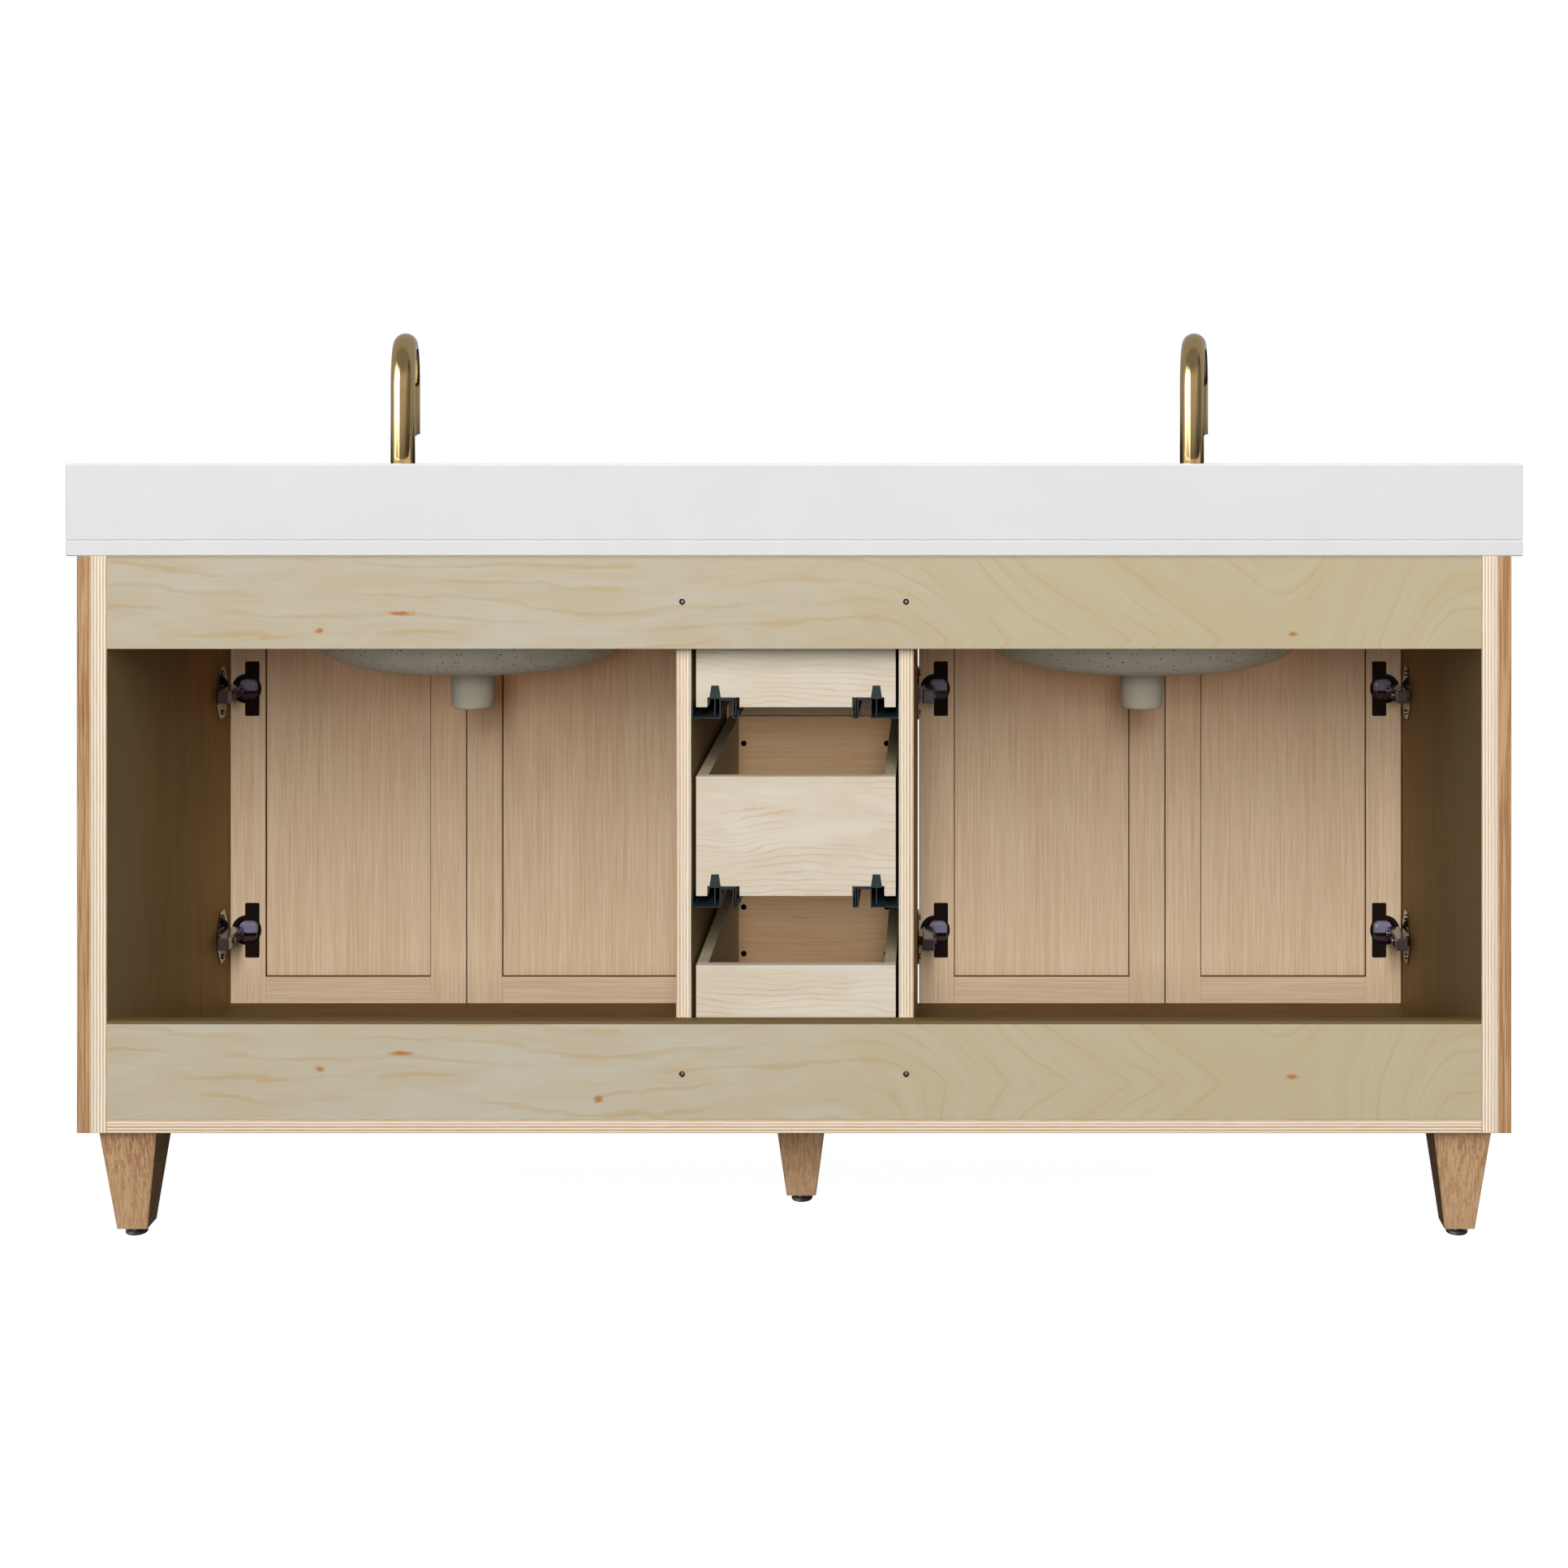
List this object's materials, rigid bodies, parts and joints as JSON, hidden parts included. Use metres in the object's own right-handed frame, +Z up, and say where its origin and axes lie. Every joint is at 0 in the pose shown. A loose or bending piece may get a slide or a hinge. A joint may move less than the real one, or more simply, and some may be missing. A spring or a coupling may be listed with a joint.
{
  "type": "bathroom vanity cabinet",
  "caption": "Wide free-standing vanity: open-backed plywood and oak cabinet on tapered legs, stone top, undermount basins, swivel faucets, hinged doors and sliding drawers.",
  "frame": {"origin": "on the floor under the middle of the worktop", "axes": "+X to the right as seen from the doors, +Y to the wall, +Z up"},
  "size_m": [1.854, 0.559, 1.164],
  "materials": {
    "plywood": "clear-coated birch plywood",
    "birch": "pale birch, clear coat",
    "oak": "natural oak, satin clear coat",
    "stone": "polished white engineered stone",
    "ceramic": "white glaze inside, raw speckled underside",
    "steel": "zinc plated",
    "nickel": "bright nickel",
    "bronze": "dark bronze lacquer",
    "slide_steel": "dark grey zinc",
    "brass": "brushed brass"
  },
  "bodies": {
    "carcass": {"bottom_panel": "plywood", "back_rail_top": "plywood", "back_rail_bottom": "plywood", "rail_screws": "steel", "front_rails": "plywood", "face_stiles": "oak", "leg_centre": "oak", "leg_glides": "steel", "countertop": "stone", "backsplash": "stone", "hinge_plates": "nickel", "hinge_arms": "bronze", "slide_rails": "slide_steel", "faucet_nuts": "brass", "side_panel_left": "plywood", "end_panel_left": "oak", "divider_left": "plywood", "leg_front_left": "oak", "leg_rear_left": "oak", "basin_left": "ceramic", "faucet_body_left": "brass", "side_panel_right": "plywood", "end_panel_right": "oak", "divider_right": "plywood", "leg_front_right": "oak", "leg_rear_right": "oak", "basin_right": "ceramic", "faucet_body_right": "brass"},
    "door_left_outer": {"door_left_outer_frame": "oak", "door_left_outer_panel": "oak", "door_left_outer_hinge_cups": "bronze"},
    "door_left_inner": {"door_left_inner_frame": "oak", "door_left_inner_panel": "oak", "door_left_inner_hinge_cups": "bronze"},
    "door_right_outer": {"door_right_outer_frame": "oak", "door_right_outer_panel": "oak", "door_right_outer_hinge_cups": "bronze"},
    "door_right_inner": {"door_right_inner_frame": "oak", "door_right_inner_panel": "oak", "door_right_inner_hinge_cups": "bronze"},
    "drawer_bottom": {"drawer_bottom_box": "birch", "drawer_bottom_base": "birch", "drawer_bottom_front": "oak", "drawer_bottom_runners": "slide_steel"},
    "drawer_middle": {"drawer_middle_box": "birch", "drawer_middle_base": "birch", "drawer_middle_front": "oak", "drawer_middle_runners": "slide_steel"},
    "drawer_top": {"drawer_top_box": "birch", "drawer_top_base": "birch", "drawer_top_front": "oak", "drawer_top_runners": "slide_steel"},
    "spout_left": {"spout_left": "brass", "aerator_left": "brass"},
    "faucet_hub_left": {"faucet_hub_left": "brass"},
    "faucet_lever_left": {"faucet_lever_left": "brass"},
    "spout_right": {"spout_right": "brass", "aerator_right": "brass"},
    "faucet_hub_right": {"faucet_hub_right": "brass"},
    "faucet_lever_right": {"faucet_lever_right": "brass"}
  },
  "joints": [
    {"name": "door_left_outer_swing", "type": "hinge", "parent": "carcass", "child": "door_left_outer", "pos_m": [-0.8736, -0.267, 0.514], "axis": [0, 0, -1], "range_deg": [0, 105]},
    {"name": "door_left_inner_swing", "type": "hinge", "parent": "carcass", "child": "door_left_inner", "pos_m": [-0.1529, -0.267, 0.514], "axis": [0, 0, 1], "range_deg": [0, 90]},
    {"name": "door_right_outer_swing", "type": "hinge", "parent": "carcass", "child": "door_right_outer", "pos_m": [0.8736, -0.267, 0.514], "axis": [0, 0, 1], "range_deg": [0, 105]},
    {"name": "door_right_inner_swing", "type": "hinge", "parent": "carcass", "child": "door_right_inner", "pos_m": [0.1529, -0.267, 0.514], "axis": [0, 0, -1], "range_deg": [0, 90]},
    {"name": "drawer_bottom_slide", "type": "slide", "parent": "carcass", "child": "drawer_bottom", "axis": [0, -1, 0], "range_m": [0, 0.36]},
    {"name": "drawer_middle_slide", "type": "slide", "parent": "carcass", "child": "drawer_middle", "axis": [0, -1, 0], "range_m": [0, 0.36]},
    {"name": "drawer_top_slide", "type": "slide", "parent": "carcass", "child": "drawer_top", "axis": [0, -1, 0], "range_m": [0, 0.36]},
    {"name": "spout_left_swivel", "type": "hinge", "parent": "carcass", "child": "spout_left", "pos_m": [-0.51325, 0.2095, 0.977], "axis": [0, 0, 1], "range_deg": [-51, 69]},
    {"name": "faucet_hub_left_turn", "type": "hinge", "parent": "carcass", "child": "faucet_hub_left", "pos_m": [-0.48895, 0.2095, 0.947], "axis": [1, 0, 0], "range_deg": [-30, 30]},
    {"name": "faucet_lever_left_tilt", "type": "hinge", "parent": "faucet_hub_left", "child": "faucet_lever_left", "pos_m": [-0.47495, 0.2095, 0.947], "axis": [0, 1, 0], "range_deg": [0, 16]},
    {"name": "spout_right_swivel", "type": "hinge", "parent": "carcass", "child": "spout_right", "pos_m": [0.51325, 0.2095, 0.977], "axis": [0, 0, 1], "range_deg": [-69, 51]},
    {"name": "faucet_hub_right_turn", "type": "hinge", "parent": "carcass", "child": "faucet_hub_right", "pos_m": [0.53755, 0.2095, 0.947], "axis": [1, 0, 0], "range_deg": [-30, 30]},
    {"name": "faucet_lever_right_tilt", "type": "hinge", "parent": "faucet_hub_right", "child": "faucet_lever_right", "pos_m": [0.55155, 0.2095, 0.947], "axis": [0, 1, 0], "range_deg": [0, 16]}
  ]
}
